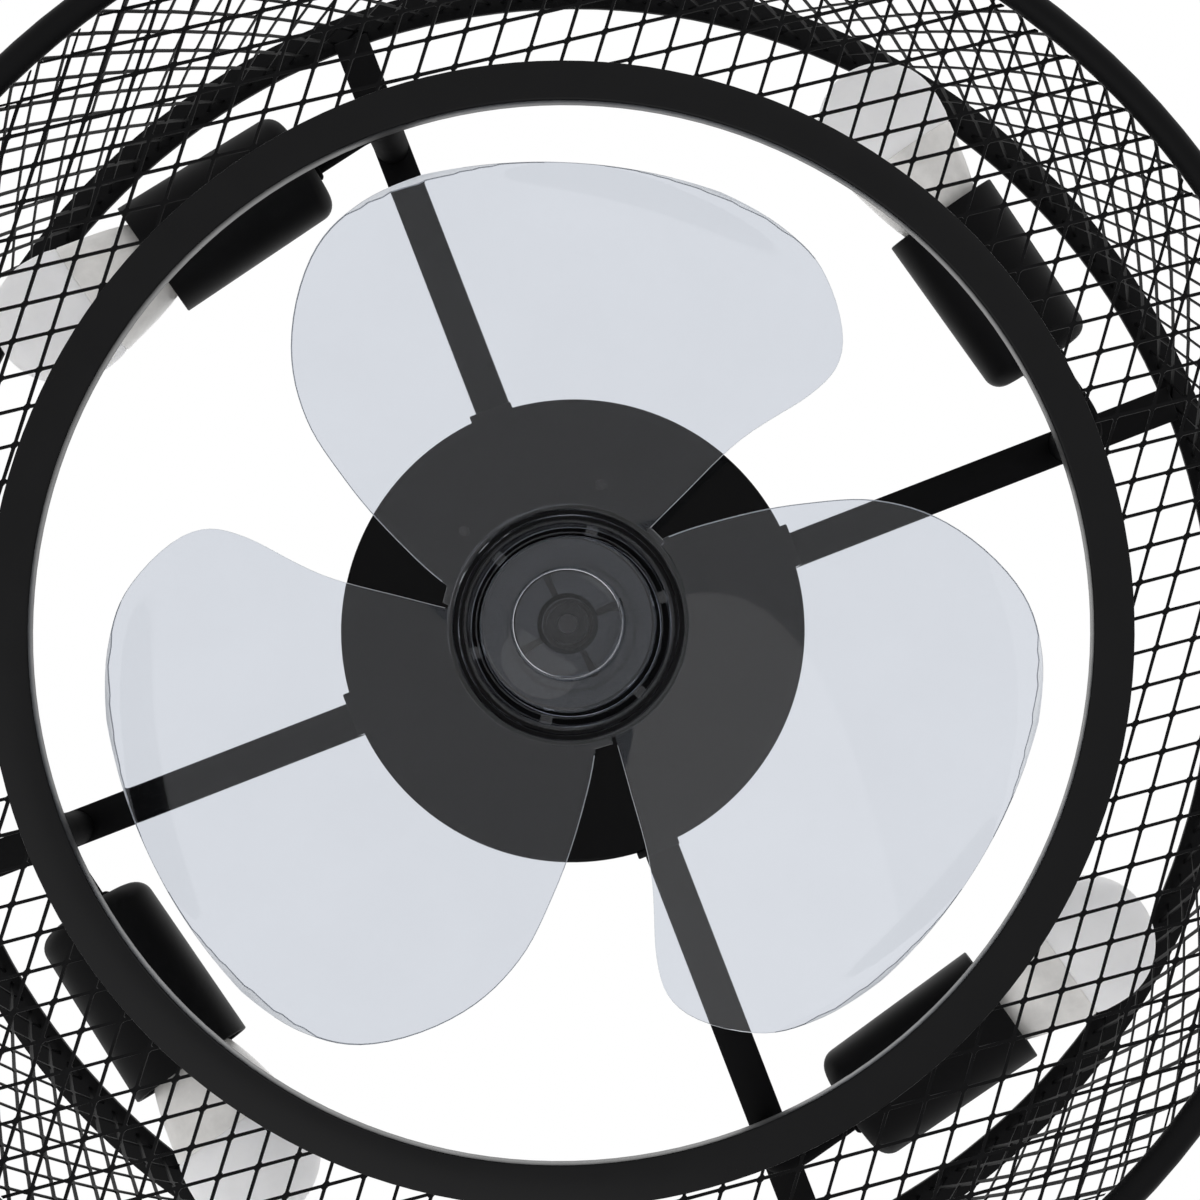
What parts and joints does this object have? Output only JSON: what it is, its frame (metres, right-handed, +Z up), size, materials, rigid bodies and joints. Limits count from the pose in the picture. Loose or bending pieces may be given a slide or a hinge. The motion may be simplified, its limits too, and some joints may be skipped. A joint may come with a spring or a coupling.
{
  "type": "caged ceiling fan with lamps",
  "caption": "Flush-mount ceiling fan: a clear propeller in a round black expanded-metal cage, with shaded lamps lying under flat spokes.",
  "frame": {"origin": "centre of the ceiling bracket's top face, where the fan meets the ceiling", "axes": "+Z up along the propeller's axis, into the ceiling; +X along the first spoke"},
  "size_m": [0.671, 0.671, 0.246],
  "materials": {
    "black_paint": "satin",
    "gloss_paint": "gloss",
    "steel": "plain",
    "windings": "varnished",
    "clear_plastic": "clear gloss",
    "white_plastic": "matte",
    "bulb_collar": "satin",
    "bulb_diffuser": "frosted"
  },
  "bodies": {
    "frame": {"ceiling_bracket": "steel", "canopy": "black_paint", "hanger_tube": "steel", "receiver": "white_plastic", "motor_housing": "black_paint", "motor_cover": "gloss_paint", "stator": "windings", "upper_bearing": "steel", "lower_bearing": "steel", "spoke_1": "black_paint", "spoke_2": "black_paint", "spoke_3": "black_paint", "spoke_4": "black_paint", "spoke_screw_1": "steel", "spoke_screw_2": "steel", "spoke_screw_3": "steel", "spoke_screw_4": "steel", "arm_screw_1": "steel", "arm_screw_2": "steel", "arm_screw_3": "steel", "arm_screw_4": "steel", "top_ring": "black_paint", "outer_hoop": "black_paint", "bottom_ring": "black_paint", "bottom_mesh": "black_paint", "wall_mesh": "black_paint", "lamp_arm_1": "black_paint", "lamp_arm_2": "black_paint", "lamp_arm_3": "black_paint", "lamp_arm_4": "black_paint", "lamp_cup_1": "black_paint", "lamp_cup_2": "black_paint", "lamp_cup_3": "black_paint", "lamp_cup_4": "black_paint", "lampholder_1": "white_plastic", "lampholder_2": "white_plastic", "lampholder_3": "white_plastic", "lampholder_4": "white_plastic"},
    "rotor_group": {"rotor": "steel", "motor_shaft": "steel", "drive_pin": "steel", "propeller": "clear_plastic"},
    "spinner_carriage": {"spinner_insert": "black_paint"},
    "spinner": {"spinner_nut": "clear_plastic"},
    "bulb_carriage_1": {"bulb_contact_1": "steel"},
    "bulb_1": {"bulb_base_1": "steel", "bulb_body_1": "bulb_collar", "bulb_dome_1": "bulb_diffuser"},
    "bulb_carriage_2": {"bulb_contact_2": "steel"},
    "bulb_2": {"bulb_base_2": "steel", "bulb_body_2": "bulb_collar", "bulb_dome_2": "bulb_diffuser"},
    "bulb_carriage_3": {"bulb_contact_3": "steel"},
    "bulb_3": {"bulb_base_3": "steel", "bulb_body_3": "bulb_collar", "bulb_dome_3": "bulb_diffuser"},
    "bulb_carriage_4": {"bulb_contact_4": "steel"},
    "bulb_4": {"bulb_base_4": "steel", "bulb_body_4": "bulb_collar", "bulb_dome_4": "bulb_diffuser"}
  },
  "joints": [
    {"name": "fan_spin", "type": "hinge", "parent": "frame", "child": "rotor_group", "pos_m": [0, 0, -0.1897], "axis": [0, 0, 1], "continuous": true},
    {"name": "spinner_travel", "type": "slide", "parent": "rotor_group", "child": "spinner_carriage", "axis": [0, 0, -1], "range_m": [0, 0.0106]},
    {"name": "spinner_turn", "type": "hinge", "parent": "spinner_carriage", "child": "spinner", "pos_m": [0, 0, -0.218], "axis": [0, 0, 1], "range_deg": [0, 1260]},
    {"name": "bulb_1_travel", "type": "slide", "parent": "frame", "child": "bulb_carriage_1", "axis": [-0.2396, -0.9684, -0.0698], "range_m": [0, 0.0217]},
    {"name": "bulb_1_turn", "type": "hinge", "parent": "bulb_carriage_1", "child": "bulb_1", "pos_m": [0.23804, -0.09684, -0.11998], "axis": [-0.2396, -0.9684, -0.0698], "range_deg": [0, 2160]},
    {"name": "bulb_2_travel", "type": "slide", "parent": "frame", "child": "bulb_carriage_2", "axis": [0.9684, -0.2396, -0.0698], "range_m": [0, 0.0217]},
    {"name": "bulb_2_turn", "type": "hinge", "parent": "bulb_carriage_2", "child": "bulb_2", "pos_m": [0.09684, 0.23804, -0.11998], "axis": [0.9684, -0.2396, -0.0698], "range_deg": [0, 2160]},
    {"name": "bulb_3_travel", "type": "slide", "parent": "frame", "child": "bulb_carriage_3", "axis": [0.2396, 0.9684, -0.0698], "range_m": [0, 0.0217]},
    {"name": "bulb_3_turn", "type": "hinge", "parent": "bulb_carriage_3", "child": "bulb_3", "pos_m": [-0.23804, 0.09684, -0.11998], "axis": [0.2396, 0.9684, -0.0698], "range_deg": [0, 2160]},
    {"name": "bulb_4_travel", "type": "slide", "parent": "frame", "child": "bulb_carriage_4", "axis": [-0.9684, 0.2396, -0.0698], "range_m": [0, 0.0217]},
    {"name": "bulb_4_turn", "type": "hinge", "parent": "bulb_carriage_4", "child": "bulb_4", "pos_m": [-0.09684, -0.23804, -0.11998], "axis": [-0.9684, 0.2396, -0.0698], "range_deg": [0, 2160]}
  ],
  "couplings": [
    {"joint": "spinner_travel", "follows": "spinner_turn", "m_per_rad": 0.00047746},
    {"joint": "bulb_1_travel", "follows": "bulb_1_turn", "m_per_rad": 0.00057296},
    {"joint": "bulb_2_travel", "follows": "bulb_2_turn", "m_per_rad": 0.00057296},
    {"joint": "bulb_3_travel", "follows": "bulb_3_turn", "m_per_rad": 0.00057296},
    {"joint": "bulb_4_travel", "follows": "bulb_4_turn", "m_per_rad": 0.00057296}
  ]
}
